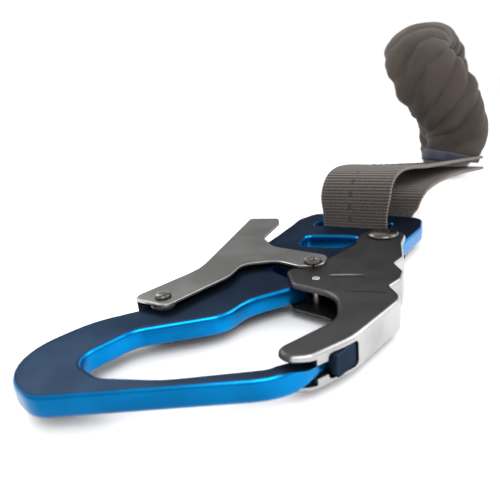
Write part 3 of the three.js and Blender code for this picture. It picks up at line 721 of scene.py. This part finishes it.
def jacket_surface(line):
    """Rings of points round the middle line, gathered into slanting folds, with the distance of
    each ring along the line and the shade of each point."""
    sides = 96
    length = distances(line)
    rings, shades = [], []
    for i, along in enumerate(length):
        here, side, depth = ring_frame(line, i)
        gather = min(along / MOUTH_GATHER, (length[-1] - along) / END_GATHER, 1.0)
        full = 0.87 + 0.13 * math.sin(gather * math.pi / 2)
        plain_width = half_width(along) * full
        plain_depth = HALF_DEPTH * full
        ring, shade = [], []
        for k in range(sides):
            angle = 2 * math.pi * k / sides
            sideways, inward = math.cos(angle), math.sin(angle)
            swell = fold_height(along, sideways, inward) * (0.3 + 0.7 * gather)
            shade.append(0.5 + swell / SHADE_SCALE)
            wide = plain_width + swell
            deep = plain_depth + swell * 0.8
            point = here + side * wide * sideways + depth * deep * inward
            point.z = max(point.z + seat_drop(sideways, along), FLOOR + FLOOR_GAP)
            ring.append(point)
        rings.append(ring)
        shades.append(shade)
    return rings, length, shades


def skin(name, rings, shades, first, last, slot, wall):
    """One stretch of rings as a thin-walled sleeve, hemmed at both ends. The shades, high on the
    jacket's folds and low between them, become u on the outer wall; u is 0 on the inner one."""
    part = rings[first:last + 1]
    sides = len(part[0])
    centres = [sum(ring, Vector()) / sides for ring in part]
    walls = list(part)
    for ring, centre in list(zip(part, centres))[::-1]:
        walls.append([p + (centre - p).normalized() * wall for p in ring])
    points = [p for ring in walls for p in ring]
    faces = ring_quads(0, len(walls), sides, closed=True)
    values = [value for shade in shades[first:last + 1] for value in shade]
    values += [0.0] * (len(points) - len(values))
    piece = add_object(name, points, faces, slot, [(value, 0.0) for value in values])
    tidy_normals(piece)
    return piece


def blend_foot(piece):
    """Bake the piece's placing into its mesh."""
    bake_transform(piece)


def build_jacket():
    """The jacket in three lengths; gives its middle line and the distances along it."""
    line = centre_line()
    rings, length, shades = jacket_surface(line)
    top = int(np.argmin([np.linalg.norm(p - np.array(TOP_BEND)) for p in line]))
    stretch = int(len(line) * STRETCH_SHARE)
    first_cut = top // 2
    second_cut = (top + stretch) // 2
    end = len(line) - 1
    lower = skin("jacket_base", rings, shades, 0, first_cut, "jacket", JACKET_WALL)
    blend_foot(lower)
    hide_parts("jacket_lower")
    middle = skin("jacket_rise", rings, shades, first_cut, second_cut, "jacket", JACKET_WALL)
    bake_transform(middle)
    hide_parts("jacket_arch")
    last = skin("jacket_fall", rings, shades, second_cut, end, "jacket", JACKET_WALL)
    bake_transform(last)
    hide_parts("jacket_tail")
    return line, length


def tube_band(name, line, length, stations, wide, deep, node):
    """A sewn band round the jacket, over a range of stations."""
    first, last = stations
    sides = 64
    rings = []
    for i in range(first, last + 1):
        here, side, depth = ring_frame(line, i)
        ring = []
        for k in range(sides):
            angle = 2 * math.pi * k / sides
            sideways, inward = math.cos(angle), math.sin(angle)
            ripple = 0.0006 * math.sin(angle * 7) + 0.0004 * math.sin(angle * 4 + i * 0.3)
            point = here + side * (wide + ripple) * sideways + depth * (deep + ripple) * inward
            point.z += seat_drop(sideways, length[i])
            ring.append(point)
        rings.append(ring)
    piece = skin(name, rings, [], 0, len(rings) - 1, "band", BAND_WALL)
    layer = piece.data.uv_layers[0]
    for loop in piece.data.loops:
        ring_index, side_index = divmod(loop.vertex_index, sides)
        layer.data[loop.index].uv = (ring_index % len(rings) / len(rings), side_index * BAND_WEAVE_STEP)
    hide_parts(node)
    return piece


# ---------------------------------------------------------------- harness end
ROOT_OFFSET = 0.006      # from the end hinge to where the harness loop's distances start
END_STRAP_WIDTH = 0.0445
END_STRAP_THICK = 0.0026
END_STRAP_STATIONS = 220
END_THREAD_LIFT = 0.0032  # of the thread over the end hinge


def build_end_loop():
    """The harness loop: two layers from inside the jacket's end, which open into a bight."""
    root = END_HINGE + TAIL_DIRECTION * ROOT_OFFSET
    floor = FLOOR / MM

    def at(along, height):
        spot = root + TAIL_DIRECTION * along * MM
        return (spot.x, spot.y, height * MM)

    middle = END_HINGE.z / MM
    rows = [
        at(-10, middle + 1.4), at(12, middle + 1.4), at(28, middle + 1.6), at(46, floor + 23),
        at(70, floor + 30.6), at(92, floor + 30.6), at(106, floor + 25.6), at(111.6, floor + 16.8),
        at(106, floor + 7.6), at(92, floor + 3.0), at(70, floor + 2.6), at(46, floor + 8.8),
        at(28, middle - 1.6), at(12, middle - 1.4), at(-10, middle - 1.4),
    ]
    path = spline(rows, END_STRAP_STATIONS)
    across = [tuple(END_ACROSS)] * len(path)
    piece = strap("harness_loop_strap", path, across, END_STRAP_WIDTH, END_STRAP_THICK, "webbing")
    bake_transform(piece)
    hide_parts("end_loop_webbing")

    def on_layer(along, lateral):
        spot = root + TAIL_DIRECTION * along + END_ACROSS * lateral
        point = Vector((spot.x, spot.y, END_HINGE.z + END_THREAD_LIFT))
        return point, TAIL_DIRECTION, END_ACROSS, Vector((0, 0, 1))

    places = sewn_pattern(on_layer, (0.006, 0.0052, 5), (0.005, 0.0046, 6))
    thread = stitches("harness_loop_thread", places)
    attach(thread, "end_loop")
    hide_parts("end_loop_stitching")


def core_materials():
    """The core's CAD nodes stay as they are and only take the visual material."""
    for node in ("core_lower", "core_arch", "core_tail"):
        mesh = frame["nodes"][node].data
        mesh.materials.clear()
        mesh.materials.append(MATERIALS["core"])


# ---------------------------------------------------------------- studio
def studio():
    """A pale floor, a white surround and three soft lamps."""
    bpy.ops.mesh.primitive_plane_add(size=60, location=(0.3, 0.4, FLOOR))
    floor = bpy.context.object
    floor.name = "floor"
    surface = bpy.data.materials.new("floor_white")
    surface.use_nodes = True
    paint = surface.node_tree.nodes["Principled BSDF"]
    paint.inputs["Base Color"].default_value = (0.97, 0.97, 0.97, 1)
    paint.inputs["Roughness"].default_value = 0.9
    floor.data.materials.append(surface)
    world = bpy.data.worlds.new("studio")
    world.use_nodes = True
    surround = world.node_tree.nodes["Background"]
    surround.inputs["Color"].default_value = (1, 1, 1, 1)
    surround.inputs["Strength"].default_value = 1.04
    bpy.context.scene.world = world
    bpy.context.scene.view_settings.view_transform = "Standard"
    target = Vector((0.15, 0, 0))
    for name, place, size, power in (
        ("key", (-0.5, -0.9, 1.3), 0.9, 16),
        ("fill", (0.9, -0.8, 0.8), 0.8, 6),
        ("rim", (0.2, 1.1, 0.9), 0.8, 8),
    ):
        data = bpy.data.lights.new(name, "AREA")
        data.energy = power
        data.size = size
        lamp = bpy.data.objects.new(name, data)
        lamp.location = Vector(place) + Vector((0, 0, FLOOR))
        lamp.rotation_euler = (target - Vector(place)).to_track_quat("-Z", "Y").to_euler()
        bpy.context.scene.collection.objects.link(lamp)


def camera():
    """The camera stands low in front of the nose loop and looks along the hook."""
    heading = math.radians(45.1)
    pitch = math.radians(18.43)
    roll = math.radians(-6)
    level_forward = Vector((math.cos(heading), math.sin(heading), 0))
    level_right = Vector((math.sin(heading), -math.cos(heading), 0))
    up = Vector((0, 0, 1))
    view = level_forward * math.cos(pitch) - up * math.sin(pitch)
    level_up = level_forward * math.sin(pitch) + up * math.cos(pitch)
    right = level_right * math.cos(roll) + level_up * math.sin(roll)
    top = -level_right * math.sin(roll) + level_up * math.cos(roll)
    focus = bpy.data.objects.new("focus", None)
    focus.location = LEVER_PIVOT + Vector((0.03, 0, 0))
    bpy.context.scene.collection.objects.link(focus)
    data = bpy.data.cameras.new("camera")
    data.sensor_width = 36
    data.lens = 32.4
    data.clip_start = 0.01
    data.dof.use_dof = True
    data.dof.focus_object = focus
    data.dof.aperture_fstop = 16
    eye = bpy.data.objects.new("camera", data)
    bpy.context.scene.collection.objects.link(eye)
    before, aside, above = 0.1037, 0.1629, 0.0856
    place = Vector((LEVER_PIVOT.x - before, LEVER_PIVOT.y - aside, PLATE_TOP + above))
    eye.matrix_world = Matrix((
        (right.x, top.x, -view.x, place.x),
        (right.y, top.y, -view.y, place.y),
        (right.z, top.z, -view.z, place.z),
        (0, 0, 0, 1),
    ))
    bpy.context.scene.camera = eye


# ---------------------------------------------------------------- build everything
metal_parts()
strap_path = build_hook_strap()
loop_stitching(strap_path)
jacket_line, jacket_length = build_jacket()
mouth_tape = tube_band("mouth_tape", jacket_line, jacket_length, MOUTH_STATIONS, FOOT_HALF_WIDTH,
                       HALF_DEPTH, "mouth_band")
blend_foot(mouth_tape)
end_tape = tube_band("end_tape", jacket_line, jacket_length, END_STATIONS, END_HALF_WIDTH,
                     END_HALF_DEPTH, "end_band")
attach(end_tape, "absorber_tail")
build_end_loop()
core_materials()
studio()
camera()
